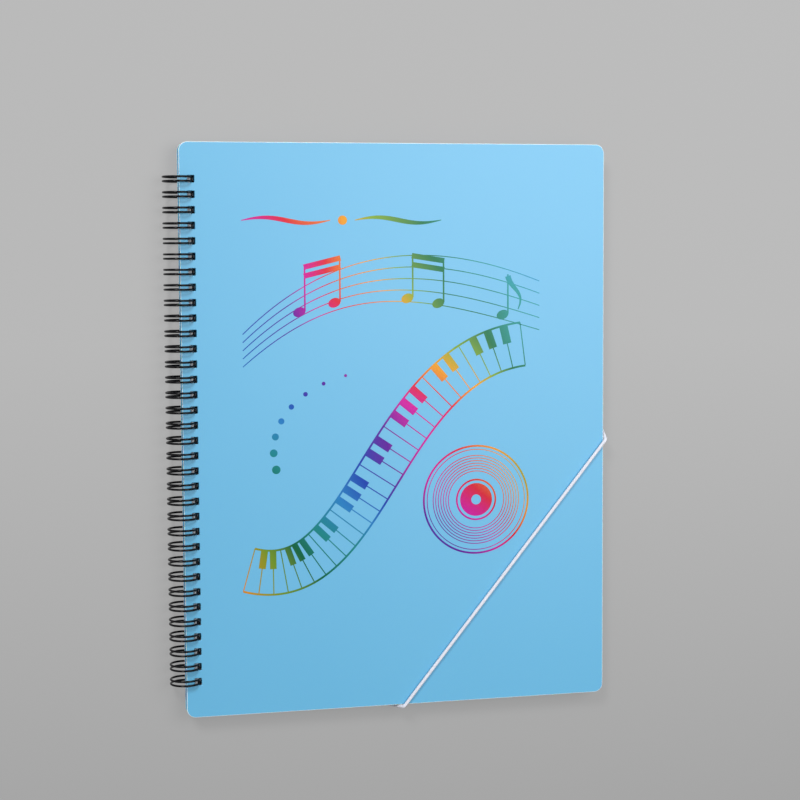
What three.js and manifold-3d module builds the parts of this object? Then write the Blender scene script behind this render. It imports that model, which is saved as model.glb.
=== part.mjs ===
// A wire-bound music folder, closed and lying on its back: two plastic covers, a block of pocket
// leaves, one twin-loop wire and an elastic cord round the lower outer corner.
// Millimetres, +Z up. The spine is at -X, its upper end at +Y, and the front cover faces +Z.
//
// The pieces are drawn upright, as the folder stands on a shelf: x from the middle of the wire
// loops towards the opening edge, -y out of the front cover, z up from the covers' lower edge.
// The last lines lay the whole folder down.
import * as THREE from 'three';
import { mergeVertices } from 'three/addons/utils/BufferGeometryUtils.js';
import Module from 'manifold-3d';

// Driving dimensions of the covers
const COVER_WIDTH = 245;
const COVER_HEIGHT = 320;
const COVER_THICKNESS = 0.9;
const COVER_CORNER_RADIUS = 5;

// The row of square punched holes: as many as fit between the end rooms
const LOOP_PITCH = 25.4 / 3;
const LOOP_END_ROOM = 20;
const HOLE_SIDE = 4;
const HOLE_EDGE_MARGIN = 4.5;

// The twin-loop wire: pairs of fingers closed to a ring
const WIRE_DIAMETER = 1.2;
const RING_RADIUS = 8;
const FINGER_SPACING = 2.4;
const TIP_TO_ROOT_GAP = 0.25;
const RING_STEP_ANGLE = 30;
const ROOT_BEND = 0.9;
const WIRE_END_LENGTH = 2.6;
const SPINE_EDGE_OFFSET = 0.3;

// The block of pocket leaves, punched with the covers and smaller than they are on three sides
const LEAF_SIDE_INSET = 8;
const LEAF_END_INSET = 7;
const MARGIN_WIDTH = 13;
const MARGIN_FRONT = 1;
const MARGIN_BACK = 2.3;
const POCKET_SLOPE_WIDTH = 6;
const LEAF_CORNER_RADIUS = 3;

// The elastic cord and the flat metal barbs that hold its ends inside the back cover
const CORD_DIAMETER = 1.9;
const BARB_LENGTH = 12;
const BARB_WIDTH = 2.4;
const BARB_THICKNESS = 0.6;
const CORD_SIDE_HEIGHT = 149.5;
const CORD_FOOT_DISTANCE = 124.2;
const CORD_CROSSING_SLANT = 7.5;
const UPPER_ANCHOR_INSET = 21;
const UPPER_ANCHOR_RISE = 17;
const LOWER_ANCHOR_SHIFT = 14;
const LOWER_ANCHOR_HEIGHT = 17;

// Clearances between neighbours
const GAP = 0.3;
const COVER_INNER_OFFSET = 3.1;

// Worked out from the sizes above
const COVER_OUTER_OFFSET = COVER_INNER_OFFSET + COVER_THICKNESS;
const CORD_RADIUS = CORD_DIAMETER / 2;
const CORD_STANDOFF = CORD_RADIUS + GAP;
const CORD_PLANE = COVER_OUTER_OFFSET + CORD_STANDOFF;
const CORD_HOLE_RADIUS = CORD_RADIUS + GAP;
const HOLE_CENTRE = HOLE_EDGE_MARGIN + HOLE_SIDE / 2;
const LEAF_WIDTH = COVER_WIDTH - LEAF_SIDE_INSET;
const LEAF_HEIGHT = COVER_HEIGHT - 2 * LEAF_END_INSET;
const BARB_BACK = COVER_INNER_OFFSET - GAP;
const BARB_FRONT = BARB_BACK - BARB_THICKNESS;
const POCKET_FRONT = COVER_INNER_OFFSET - GAP;
const POCKET_BACK = BARB_FRONT - GAP;
const LOOP_COUNT = 1 + Math.floor((COVER_HEIGHT - 2 * LOOP_END_ROOM) / LOOP_PITCH);
const FIRST_LOOP_HEIGHT = (COVER_HEIGHT - (LOOP_COUNT - 1) * LOOP_PITCH) / 2;
const ROOT_LINE_OFFSET = MARGIN_FRONT + GAP + WIRE_DIAMETER / 2;
const ROOT_ANGLE = -Math.asin(ROOT_LINE_OFFSET / RING_RADIUS);
const TIP_BEND_RADIUS = FINGER_SPACING / 2;
const TIP_ANGLE = 2 * Math.PI + ROOT_ANGLE - (WIRE_DIAMETER + TIP_TO_ROOT_GAP) / RING_RADIUS;

// The ends of the upright folder, from loop to cord and from cord to upper edge
const RING_REACH = RING_RADIUS + WIRE_DIAMETER / 2;
const CORD_REACH = GAP + CORD_DIAMETER;
const MIDDLE_X = (SPINE_EDGE_OFFSET + COVER_WIDTH + CORD_REACH - RING_REACH) / 2;
const MIDDLE_Z = (COVER_HEIGHT - CORD_REACH) / 2;

const wasm = await Module();
wasm.setup();

const coverPlastic = new THREE.MeshStandardMaterial({ color: 0x84c6ea, roughness: 0.5, metalness: 0 });
const leafFilm = new THREE.MeshStandardMaterial({ color: 0xeef2f6, roughness: 0.35, metalness: 0 });
const blackWire = new THREE.MeshStandardMaterial({ color: 0x101216, roughness: 0.25, metalness: 0.6 });
const whiteElastic = new THREE.MeshStandardMaterial({ color: 0xf2f2f5, roughness: 0.9, metalness: 0 });
const barbMetal = new THREE.MeshStandardMaterial({ color: 0xb9bcc0, roughness: 0.35, metalness: 1 });

// A closed geometry as a solid, and a solid as a geometry
function toSolid(geometry) {
  const bare = geometry.clone();
  bare.deleteAttribute('normal');
  bare.deleteAttribute('uv');
  const merged = mergeVertices(bare, 1e-5);
  return new wasm.Manifold(new wasm.Mesh({
    numProp: 3,
    vertProperties: new Float32Array(merged.attributes.position.array),
    triVerts: new Uint32Array(merged.index.array),
  }));
}

function toGeometry(solid) {
  const mesh = solid.getMesh();
  const geometry = new THREE.BufferGeometry();
  geometry.setAttribute('position', new THREE.BufferAttribute(mesh.vertProperties, 3));
  geometry.setIndex(new THREE.BufferAttribute(mesh.triVerts, 1));
  geometry.computeVertexNormals();
  return geometry;
}

// Height of loop number k above the covers' lower edge
function loopHeight(k) {
  return FIRST_LOOP_HEIGHT + k * LOOP_PITCH;
}

// A rectangle with rounded corners, drawn anticlockwise from its lower left corner
function roundedRectangle(x, y, width, height, radius) {
  const outline = new THREE.Shape();
  outline.moveTo(x + radius, y);
  outline.lineTo(x + width - radius, y);
  outline.absarc(x + width - radius, y + radius, radius, -Math.PI / 2, 0);
  outline.lineTo(x + width, y + height - radius);
  outline.absarc(x + width - radius, y + height - radius, radius, 0, Math.PI / 2);
  outline.lineTo(x + radius, y + height);
  outline.absarc(x + radius, y + height - radius, radius, Math.PI / 2, Math.PI);
  outline.lineTo(x, y + radius);
  outline.absarc(x + radius, y + radius, radius, Math.PI, 1.5 * Math.PI);
  return outline;
}

function squareHole(height) {
  const half = HOLE_SIDE / 2;
  const hole = new THREE.Path();
  hole.moveTo(HOLE_CENTRE - half, height - half);
  hole.lineTo(HOLE_CENTRE - half, height + half);
  hole.lineTo(HOLE_CENTRE + half, height + half);
  hole.lineTo(HOLE_CENTRE + half, height - half);
  hole.closePath();
  return hole;
}

function roundHole(x, height) {
  const hole = new THREE.Path();
  hole.absarc(x, height, CORD_HOLE_RADIUS, 0, 2 * Math.PI, true);
  return hole;
}

// Where the cord's ends pass through the back cover, measured from its spine edge and lower edge
const upperAnchor = {
  x: COVER_WIDTH - UPPER_ANCHOR_INSET,
  z: CORD_SIDE_HEIGHT + CORD_CROSSING_SLANT + UPPER_ANCHOR_RISE,
};
const lowerAnchor = {
  x: CORD_FOOT_DISTANCE - CORD_CROSSING_SLANT - LOWER_ANCHOR_SHIFT,
  z: LOWER_ANCHOR_HEIGHT,
};

// A cover is one sheet, cut with its corners rounded and punched along the spine.
// It is drawn flat with its spine edge at x = 0 and turned up about its lower edge.
function coverMesh(name, innerSide, roundHoles) {
  const outline = roundedRectangle(0, 0, COVER_WIDTH, COVER_HEIGHT, COVER_CORNER_RADIUS);
  for (let k = 0; k < LOOP_COUNT; k += 1) {
    outline.holes.push(squareHole(loopHeight(k)));
  }
  for (const place of roundHoles) {
    outline.holes.push(roundHole(place.x, place.z));
  }
  const sheet = new THREE.ExtrudeGeometry(outline, {
    depth: COVER_THICKNESS,
    bevelEnabled: false,
    curveSegments: 5,
  });
  const mesh = new THREE.Mesh(sheet, coverPlastic);
  mesh.name = name;
  mesh.rotation.x = Math.PI / 2;
  mesh.position.set(SPINE_EDGE_OFFSET, innerSide, 0);
  return mesh;
}

// The leaves are one block: a thin punched margin that swells to the filled pockets
function pocketPagesMesh() {
  const pocketStart = MARGIN_WIDTH + POCKET_SLOPE_WIDTH;
  const profile = new THREE.Shape();
  profile.moveTo(0, -MARGIN_FRONT);
  profile.lineTo(MARGIN_WIDTH, -MARGIN_FRONT);
  profile.lineTo(pocketStart, -POCKET_FRONT);
  profile.lineTo(LEAF_WIDTH, -POCKET_FRONT);
  profile.lineTo(LEAF_WIDTH, POCKET_BACK);
  profile.lineTo(pocketStart, POCKET_BACK);
  profile.lineTo(MARGIN_WIDTH, MARGIN_BACK);
  profile.lineTo(0, MARGIN_BACK);
  profile.closePath();
  const block = toSolid(new THREE.ExtrudeGeometry(profile, { depth: LEAF_HEIGHT, bevelEnabled: false }));

  // The block's upright corners are rounded by the outline of one leaf
  const cutterDepth = 4 * COVER_INNER_OFFSET;
  const leafOutline = roundedRectangle(0, 0, LEAF_WIDTH, LEAF_HEIGHT, LEAF_CORNER_RADIUS);
  for (let k = 0; k < LOOP_COUNT; k += 1) {
    leafOutline.holes.push(squareHole(loopHeight(k) - LEAF_END_INSET));
  }
  const leaf = new THREE.ExtrudeGeometry(leafOutline, {
    depth: cutterDepth,
    bevelEnabled: false,
    curveSegments: 4,
  });
  leaf.rotateX(Math.PI / 2);
  leaf.translate(0, cutterDepth / 2, 0);

  const mesh = new THREE.Mesh(toGeometry(block.intersect(toSolid(leaf))), leafFilm);
  mesh.name = 'pocket_pages';
  mesh.position.set(SPINE_EDGE_OFFSET, 0, LEAF_END_INSET);
  return mesh;
}

// A path given by its sections: at each station a point and the direction there
class StationPath extends THREE.Curve {
  constructor(stations) {
    super();
    this.stations = stations;
  }

  at(t) {
    return this.stations[Math.round(t * (this.stations.length - 1))];
  }

  getPoint(t, target = new THREE.Vector3()) {
    return target.copy(this.at(t).point);
  }

  getTangent(t, target = new THREE.Vector3()) {
    return target.copy(this.at(t).direction);
  }

  getUtoTmapping(u) {
    return u;
  }
}

// A round bar swept through all the stations
function sweptBar(stations, radius, sides) {
  const corners = [];
  for (let k = 0; k < sides; k += 1) {
    const angle = (2 * Math.PI * k) / sides;
    corners.push(new THREE.Vector2(radius * Math.cos(angle), radius * Math.sin(angle)));
  }
  return new THREE.ExtrudeGeometry(new THREE.Shape(corners), {
    steps: stations.length - 1,
    extrudePath: new StationPath(stations),
    bevelEnabled: false,
  });
}

// A smooth bend at a corner: a quadratic curve that starts and ends `reach` away from the corner
function bendStations(corner, directionIn, directionOut, reach, segments) {
  const start = corner.clone().addScaledVector(directionIn, -reach);
  const end = corner.clone().addScaledVector(directionOut, reach);
  const arc = new THREE.QuadraticBezierCurve3(start, corner, end);
  const stations = [];
  for (let k = 0; k <= segments; k += 1) {
    stations.push({ point: arc.getPoint(k / segments), direction: arc.getTangent(k / segments) });
  }
  return stations;
}

const UP = new THREE.Vector3(0, 0, 1);

function ringPoint(angle, z) {
  return new THREE.Vector3(RING_RADIUS * Math.cos(angle), RING_RADIUS * Math.sin(angle), z);
}

// The direction of travel round the ring, from the root behind the spine towards the tip
function ringDirection(angle) {
  return new THREE.Vector3(-Math.sin(angle), Math.cos(angle), 0);
}

// One finger: out along its lower wire, round the closed tip, and back along its upper wire
function fingerStations(height) {
  const low = height - FINGER_SPACING / 2;
  const high = height + FINGER_SPACING / 2;
  const tipStart = TIP_ANGLE - TIP_BEND_RADIUS / RING_RADIUS;
  const step = THREE.MathUtils.degToRad(RING_STEP_ANGLE);
  const ringAngles = [];
  for (let angle = 0; angle < tipStart - step / 2; angle += step) {
    ringAngles.push(angle);
  }

  const rootOut = ringDirection(ROOT_ANGLE);
  const stations = bendStations(ringPoint(ROOT_ANGLE, low), UP, rootOut, ROOT_BEND, 2);
  for (const angle of ringAngles) {
    stations.push({ point: ringPoint(angle, low), direction: ringDirection(angle) });
  }
  const tipTurns = 4;
  for (let k = 0; k <= tipTurns; k += 1) {
    const turn = (Math.PI * k) / tipTurns;
    const angle = tipStart + (TIP_BEND_RADIUS * Math.sin(turn)) / RING_RADIUS;
    const direction = ringDirection(angle).multiplyScalar(Math.cos(turn));
    stations.push({
      point: ringPoint(angle, height - TIP_BEND_RADIUS * Math.cos(turn)),
      direction: direction.addScaledVector(UP, Math.sin(turn)),
    });
  }
  for (const angle of ringAngles.reverse()) {
    stations.push({ point: ringPoint(angle, high), direction: ringDirection(angle).negate() });
  }
  stations.push(...bendStations(ringPoint(ROOT_ANGLE, high), rootOut.clone().negate(), UP, ROOT_BEND, 2));
  return stations;
}

// The whole wire is one piece: finger after finger, joined by short straight roots
function wireBindingMesh() {
  const firstLow = loopHeight(0) - FINGER_SPACING / 2;
  const lastHigh = loopHeight(LOOP_COUNT - 1) + FINGER_SPACING / 2;
  const stations = [{ point: ringPoint(ROOT_ANGLE, firstLow - WIRE_END_LENGTH), direction: UP }];
  for (let k = 0; k < LOOP_COUNT; k += 1) {
    stations.push(...fingerStations(loopHeight(k)));
  }
  stations.push({ point: ringPoint(ROOT_ANGLE, lastHigh + WIRE_END_LENGTH), direction: UP });

  const mesh = new THREE.Mesh(sweptBar(stations, WIRE_DIAMETER / 2, 5), blackWire);
  mesh.name = 'wire_binding';
  return mesh;
}

// The cord runs from one hole in the back cover, round the outer edge, straight across the front
// corner, round the lower edge and back to the other hole
function elasticCordMesh() {
  const sideX = COVER_WIDTH + CORD_STANDOFF;
  const footZ = -CORD_STANDOFF;
  const corners = [
    new THREE.Vector3(upperAnchor.x, COVER_INNER_OFFSET, upperAnchor.z),
    new THREE.Vector3(upperAnchor.x, CORD_PLANE, upperAnchor.z),
    new THREE.Vector3(sideX, CORD_PLANE, CORD_SIDE_HEIGHT + CORD_CROSSING_SLANT),
    new THREE.Vector3(sideX, -CORD_PLANE, CORD_SIDE_HEIGHT),
    new THREE.Vector3(CORD_FOOT_DISTANCE, -CORD_PLANE, footZ),
    new THREE.Vector3(CORD_FOOT_DISTANCE - CORD_CROSSING_SLANT, CORD_PLANE, footZ),
    new THREE.Vector3(lowerAnchor.x, CORD_PLANE, lowerAnchor.z),
    new THREE.Vector3(lowerAnchor.x, COVER_INNER_OFFSET, lowerAnchor.z),
  ];
  const directions = [];
  for (let k = 1; k < corners.length; k += 1) {
    directions.push(corners[k].clone().sub(corners[k - 1]).normalize());
  }
  const stations = [{ point: corners[0], direction: directions[0] }];
  for (let k = 1; k < corners.length - 1; k += 1) {
    stations.push(...bendStations(corners[k], directions[k - 1], directions[k], CORD_STANDOFF, 4));
  }
  stations.push({ point: corners.at(-1), direction: directions.at(-1) });

  const mesh = new THREE.Mesh(sweptBar(stations, CORD_RADIUS, 8), whiteElastic);
  mesh.name = 'elastic_cord';
  mesh.position.set(SPINE_EDGE_OFFSET, 0, 0);
  return mesh;
}

// A barb is a flat metal strip with round ends that lies across its hole, inside the back cover
function barbMesh(name, anchor, turn) {
  const half = BARB_LENGTH / 2 - BARB_WIDTH / 2;
  const outline = new THREE.Shape();
  outline.moveTo(-half, -BARB_WIDTH / 2);
  outline.lineTo(half, -BARB_WIDTH / 2);
  outline.absarc(half, 0, BARB_WIDTH / 2, -Math.PI / 2, Math.PI / 2);
  outline.lineTo(-half, BARB_WIDTH / 2);
  outline.absarc(-half, 0, BARB_WIDTH / 2, Math.PI / 2, 1.5 * Math.PI);
  const strip = new THREE.ExtrudeGeometry(outline, {
    depth: BARB_THICKNESS,
    bevelEnabled: false,
    curveSegments: 4,
  });
  const mesh = new THREE.Mesh(strip, barbMetal);
  mesh.name = name;
  mesh.rotation.set(Math.PI / 2, 0, turn);
  mesh.position.set(SPINE_EDGE_OFFSET + anchor.x, BARB_BACK, anchor.z);
  return mesh;
}

const folder = new THREE.Group();
folder.add(coverMesh('front_cover', -COVER_INNER_OFFSET, []));
folder.add(coverMesh('back_cover', COVER_OUTER_OFFSET, [upperAnchor, lowerAnchor]));
folder.add(pocketPagesMesh());
folder.add(wireBindingMesh());
folder.add(elasticCordMesh());
folder.add(barbMesh('upper_barb', upperAnchor, Math.PI / 4));
folder.add(barbMesh('lower_barb', lowerAnchor, Math.PI / 4));

// Laid on its back, the loops touch the surface and the origin is under the folder's middle
folder.rotation.x = -Math.PI / 2;
folder.position.set(-MIDDLE_X, -MIDDLE_Z, RING_REACH);

const part = new THREE.Group();
part.add(folder);

export default part;
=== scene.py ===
# %% [markdown]
# # A wire-bound music folder
# The folder lies closed on its back. Its construction comes ready made: two covers, a block of
# pocket leaves, a twin-loop wire, an elastic cord and two small metal barbs. This script dresses
# each of them, so that close up they look like plastic sheet, film, coated wire and braid.
# The spine is at -X, its upper end at +Y, and the front cover faces +Z. Lengths are in metres.

# %% Load the frame
import math
import random
import bpy
from mathutils import Matrix, Vector


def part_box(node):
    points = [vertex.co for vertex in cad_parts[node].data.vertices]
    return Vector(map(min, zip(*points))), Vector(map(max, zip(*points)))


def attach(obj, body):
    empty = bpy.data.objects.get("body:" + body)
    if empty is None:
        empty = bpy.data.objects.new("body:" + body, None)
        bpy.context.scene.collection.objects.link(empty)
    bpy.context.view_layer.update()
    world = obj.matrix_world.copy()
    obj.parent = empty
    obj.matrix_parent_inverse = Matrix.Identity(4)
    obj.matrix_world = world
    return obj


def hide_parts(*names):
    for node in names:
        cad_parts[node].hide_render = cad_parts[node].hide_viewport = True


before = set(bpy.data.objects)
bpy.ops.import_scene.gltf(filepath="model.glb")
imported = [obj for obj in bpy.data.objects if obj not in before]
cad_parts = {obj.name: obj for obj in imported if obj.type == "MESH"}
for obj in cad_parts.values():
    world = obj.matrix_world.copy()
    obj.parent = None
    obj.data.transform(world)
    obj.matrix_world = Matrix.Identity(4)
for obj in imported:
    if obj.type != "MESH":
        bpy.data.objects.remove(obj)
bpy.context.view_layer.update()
MM = 0.001

# %% [markdown]
# ## The camera
# The photograph was taken with a long lens from about a metre away, a little to the spine's side
# of the folder. The direction is given as angles: sideways, downwards and a small roll. A camera
# looks along its own -Z axis, so three directions at right angles make its rotation matrix.

# %% Place the camera
CAMERA_PLACE = Vector((-0.2345, 0.1006, 1.0178))
CAMERA_YAW = math.radians(13.36)
CAMERA_PITCH = math.radians(-4.65)
CAMERA_ROLL = math.radians(-0.35)
PHOTO_SIDE = 800
FOCAL_PIXELS = 1828.7
SENSOR_WIDTH = 36.0
NEAREST_SEEN = 0.01

looking = Vector((
    math.sin(CAMERA_YAW) * math.cos(CAMERA_PITCH),
    math.sin(CAMERA_PITCH),
    -math.cos(CAMERA_YAW) * math.cos(CAMERA_PITCH),
))
level_right = looking.cross(Vector((0, 1, 0))).normalized()
level_up = level_right.cross(looking)
right = level_right * math.cos(CAMERA_ROLL) + level_up * math.sin(CAMERA_ROLL)
up = level_up * math.cos(CAMERA_ROLL) - level_right * math.sin(CAMERA_ROLL)

camera_data = bpy.data.cameras.new("camera")
camera_data.sensor_width = SENSOR_WIDTH
camera_data.lens = FOCAL_PIXELS / PHOTO_SIDE * SENSOR_WIDTH
camera_data.clip_start = NEAREST_SEEN
camera = bpy.data.objects.new("camera", camera_data)
bpy.context.scene.collection.objects.link(camera)
turned = Matrix((right, up, -looking)).transposed().to_4x4()
camera.matrix_world = Matrix.Translation(CAMERA_PLACE) @ turned
bpy.context.scene.camera = camera
bpy.context.scene.view_settings.view_transform = "Standard"
print("lens", round(camera_data.lens, 1), "mm")

# %% [markdown]
# ## Helpers for selecting
# Operators act on everything that is selected, and the loaded pieces start out selected. So each
# step picks its object first. When a piece is finished its place goes into its mesh, because a
# pattern on Object coordinates must start from the same zero as the loaded pieces.

# %% Pick one object and store its place in its mesh
def pick(piece):
    if bpy.context.object and bpy.context.object.mode != "OBJECT":
        bpy.ops.object.mode_set(mode="OBJECT")
    bpy.ops.object.select_all(action="DESELECT")
    piece.select_set(True)
    bpy.context.view_layer.objects.active = piece


def settle(piece):
    pick(piece)
    bpy.ops.object.transform_apply(location=True, rotation=True, scale=True)


def apply_modifier(piece, kind, **settings):
    pick(piece)
    modifier = piece.modifiers.new(kind.lower(), kind)
    for key, value in settings.items():
        setattr(modifier, key, value)
    bpy.ops.object.modifier_apply(modifier=modifier.name)


def join(pieces, name):
    pick(pieces[0])
    for piece in pieces:
        piece.select_set(True)
    bpy.ops.object.join()
    pieces[0].name = name
    return pieces[0]


# %% [markdown]
# ## A box with round corners
# Covers, leaves and paper are all flat rectangles with rounded corners. A cube is set to the
# sheet's size, and in edit mode its four upright edges are bevelled to the corner radius. Edges
# are chosen by their direction, so the helper works at any size.

# %% Make a flat sheet
SAME_PLACE = 1e-7


def select_upright_edges(piece):
    pick(piece)
    bpy.ops.object.mode_set(mode="EDIT")
    bpy.ops.mesh.select_mode(type="EDGE")
    bpy.ops.mesh.select_all(action="DESELECT")
    bpy.ops.object.mode_set(mode="OBJECT")
    points = piece.data.vertices
    for edge in piece.data.edges:
        a, b = (points[k].co for k in edge.vertices)
        edge.select = abs(a.x - b.x) < SAME_PLACE and abs(a.y - b.y) < SAME_PLACE
    bpy.ops.object.mode_set(mode="EDIT")


def flat_sheet(name, low, high, corner, segments=8):
    centre = (Vector(low) + Vector(high)) / 2
    bpy.ops.object.select_all(action="DESELECT")
    bpy.ops.mesh.primitive_cube_add(size=1, location=centre)
    sheet = bpy.context.object
    sheet.name = name
    sheet.scale = Vector(high) - Vector(low)
    settle(sheet)
    select_upright_edges(sheet)
    bpy.ops.mesh.bevel(offset=corner, segments=segments, affect="EDGES")
    bpy.ops.object.mode_set(mode="OBJECT")
    return sheet


# %% [markdown]
# ## The punched holes
# A row of 34 square holes runs along the spine, 25.4/3 mm apart. The punch's corners are slightly
# round. One punch is modelled, an Array modifier makes the row, and a Boolean cuts it from each
# sheet. The row's place comes from the sheets: it is centred on their height, and it reaches well
# past them below and above.

# %% Make the punch row
LOOP_COUNT = 34
LOOP_PITCH = 25.4 / 3 * MM
HOLE_SIDE = 4.0 * MM
HOLE_EDGE_MARGIN = 4.5 * MM
HOLE_CORNER = 0.35 * MM
CUT_BOTTOM = -5 * MM
CUT_TOP = 25 * MM

cover_low, cover_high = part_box("front_cover")
spine_edge_x = cover_low.x
covers_middle_y = (cover_low.y + cover_high.y) / 2
first_loop_y = covers_middle_y - (LOOP_COUNT - 1) * LOOP_PITCH / 2
hole_left_x = spine_edge_x + HOLE_EDGE_MARGIN


def punch_row(name, shift=0.0):
    low = (hole_left_x + shift, first_loop_y - HOLE_SIDE / 2, CUT_BOTTOM)
    high = (hole_left_x + shift + HOLE_SIDE, first_loop_y + HOLE_SIDE / 2, CUT_TOP)
    punch = flat_sheet(name, low, high, HOLE_CORNER, segments=3)
    apply_modifier(
        punch, "ARRAY", count=LOOP_COUNT, use_relative_offset=False,
        use_constant_offset=True, constant_offset_displace=(0, LOOP_PITCH, 0),
    )
    return punch


def cut(piece, cutter):
    apply_modifier(piece, "BOOLEAN", operation="DIFFERENCE", solver="EXACT", object=cutter)


punch = punch_row("cover_punch")
print("punch row:", len(punch.data.polygons), "faces")


# %% [markdown]
# ## Materials
# Every finish is a small node tree. A helper makes the tree with its Principled shader, and a
# second one adds a bump from a noise, which most of these finishes need. Sizes in the patterns
# are in object metres, so a scale of 3000 repeats about every third of a millimetre. On a Mix
# node the colour sockets come after those for numbers and vectors, at places 6 and 7.

# %% Material helpers
def new_material(name, colour, roughness, metallic=0.0):
    material = bpy.data.materials.new(name)
    material.use_nodes = True
    shader = material.node_tree.nodes["Principled BSDF"]
    shader.inputs["Base Color"].default_value = (*colour, 1)
    shader.inputs["Roughness"].default_value = roughness
    shader.inputs["Metallic"].default_value = metallic
    return material, material.node_tree, shader


def object_noise(tree, scale, detail=2.0, stretch=(1, 1, 1)):
    place = tree.nodes.new("ShaderNodeTexCoord")
    mapping = tree.nodes.new("ShaderNodeMapping")
    mapping.inputs["Scale"].default_value = stretch
    noise = tree.nodes.new("ShaderNodeTexNoise")
    noise.inputs["Scale"].default_value = scale
    noise.inputs["Detail"].default_value = detail
    tree.links.new(place.outputs["Object"], mapping.inputs["Vector"])
    tree.links.new(mapping.outputs["Vector"], noise.inputs["Vector"])
    return noise


def add_bump(tree, shader, height, strength, distance, before=None):
    bump = tree.nodes.new("ShaderNodeBump")
    bump.inputs["Strength"].default_value = strength
    bump.inputs["Distance"].default_value = distance
    tree.links.new(height, bump.inputs["Height"])
    if before:
        tree.links.new(before.outputs["Normal"], bump.inputs["Normal"])
    tree.links.new(bump.outputs["Normal"], shader.inputs["Normal"])
    return bump


def blend_colours(tree, factor, first, second):
    mix = tree.nodes.new("ShaderNodeMix")
    mix.data_type = "RGBA"
    mix.inputs[6].default_value = (*first, 1)
    mix.inputs[7].default_value = (*second, 1)
    tree.links.new(factor, mix.inputs[0])
    return mix.outputs[2]


def vary_roughness(tree, shader, noise, low, high):
    spread = tree.nodes.new("ShaderNodeMapRange")
    spread.inputs["To Min"].default_value = low
    spread.inputs["To Max"].default_value = high
    tree.links.new(noise.outputs["Fac"], spread.inputs["Value"])
    tree.links.new(spread.outputs["Result"], shader.inputs["Roughness"])


# %% [markdown]
# ## Cover plastic
# The covers are light blue polypropylene, rolled with a very fine matte grain. Two noises do it:
# a fine one for the grain, and a broad weak one for the slow waves that a thin sheet always has.
# The trimmed edges get a paler colour, a painted highlight for the light that they catch.

# %% Make the cover plastic
COVER_BLUE = (0.108, 0.432, 0.69)
COVER_BLUE_DEEP = (0.10, 0.42, 0.675)


def cover_plastic():
    material, tree, shader = new_material("cover_plastic", COVER_BLUE, 0.42)
    clouds = object_noise(tree, 14.0, detail=3.0)
    tree.links.new(
        blend_colours(tree, clouds.outputs["Fac"], COVER_BLUE_DEEP, COVER_BLUE),
        shader.inputs["Base Color"],
    )
    grain = object_noise(tree, 2600.0, detail=2.0)
    waves = object_noise(tree, 9.0, detail=1.0)
    broad = add_bump(tree, shader, waves.outputs["Fac"], 0.25, 0.4 * MM)
    add_bump(tree, shader, grain.outputs["Fac"], 0.12, 0.05 * MM, before=broad)
    vary_roughness(tree, shader, grain, 0.42, 0.52)
    shader.inputs["Specular IOR Level"].default_value = 0.95
    shader.inputs["Subsurface Weight"].default_value = 0.06
    shader.inputs["Subsurface Radius"].default_value = (0.3, 0.6, 1.0)
    shader.inputs["Subsurface Scale"].default_value = 1.0 * MM
    return material


# The pale colour is a painted highlight: it stands for the light that the trimmed edges catch.
def cover_edge_highlight():
    material, tree, shader = new_material("cover_edge_highlight", (0.72, 0.90, 0.97), 0.35)
    marks = object_noise(tree, 900.0, detail=2.0, stretch=(1, 1, 0.1))
    add_bump(tree, shader, marks.outputs["Fac"], 0.2, 0.05 * MM)
    shader.inputs["Subsurface Weight"].default_value = 0.2
    shader.inputs["Subsurface Scale"].default_value = 1.0 * MM
    return material


cover_finish = cover_plastic()
edge_highlight_finish = cover_edge_highlight()


# %% [markdown]
# ## The covers
# Each cover is one sheet of the loaded cover's own size. The punch row is cut from it, the back
# one gets its two cord holes, and a small bevel breaks all the trimmed edges, which catch the
# light. Faces that aren't flat on the sheet take the pale edge colour, a painted highlight, apart
# from the walls of the punched holes, which light hardly reaches.

# %% Model the covers
COVER_CORNER = 5.0 * MM
EDGE_BREAK = 0.3 * MM
CORD_HOLE_DIAMETER = 2.5 * MM
CORD_DRILL_DEPTH = 12 * MM
LEVEL_NORMAL = 0.98


def is_trimmed(face):
    from_spine_edge = face.center.x - spine_edge_x
    row_start = 2 * EDGE_BREAK
    row_end = HOLE_EDGE_MARGIN + HOLE_SIDE + 2 * EDGE_BREAK
    past_row_ends = abs(face.center.y - covers_middle_y) > LOOP_PITCH * LOOP_COUNT / 2
    in_row = row_start < from_spine_edge < row_end and not past_row_ends
    return abs(face.normal.z) < LEVEL_NORMAL and not in_row


def finish_cover(cover, node, body):
    apply_modifier(
        cover, "BEVEL", width=EDGE_BREAK, segments=3, limit_method="ANGLE",
        angle_limit=math.radians(60), harden_normals=False, use_clamp_overlap=True,
    )
    cover.data.materials.append(cover_finish)
    cover.data.materials.append(edge_highlight_finish)
    # Trimmed faces take the painted edge highlight; hole walls, which light hardly reaches, keep
    # the plastic colour.
    for face in cover.data.polygons:
        face.material_index = 1 if is_trimmed(face) else 0
    pick(cover)
    bpy.ops.object.shade_smooth_by_angle(angle=math.radians(40))
    apply_modifier(cover, "WEIGHTED_NORMAL", keep_sharp=True, weight=100)
    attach(cover, body)
    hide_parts(node)
    print(cover.name, len(cover.data.polygons), "faces")


front = flat_sheet("front_cover_sheet", *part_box("front_cover"), COVER_CORNER)
cut(front, punch)
finish_cover(front, "front_cover", "front_cover")

back = flat_sheet("back_cover_sheet", *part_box("back_cover"), COVER_CORNER)
cut(back, punch)
barb_centres = {}
for node in ("upper_barb", "lower_barb"):
    low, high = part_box(node)
    barb_centres[node] = (low + high) / 2
    bpy.ops.object.select_all(action="DESELECT")
    bpy.ops.mesh.primitive_cylinder_add(
        vertices=32, radius=CORD_HOLE_DIAMETER / 2, depth=CORD_DRILL_DEPTH,
        location=barb_centres[node],
    )
    drill = bpy.context.object
    settle(drill)
    cut(back, drill)
    bpy.data.objects.remove(drill)
finish_cover(back, "back_cover", "back_cover")
bpy.data.objects.remove(punch)


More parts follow.
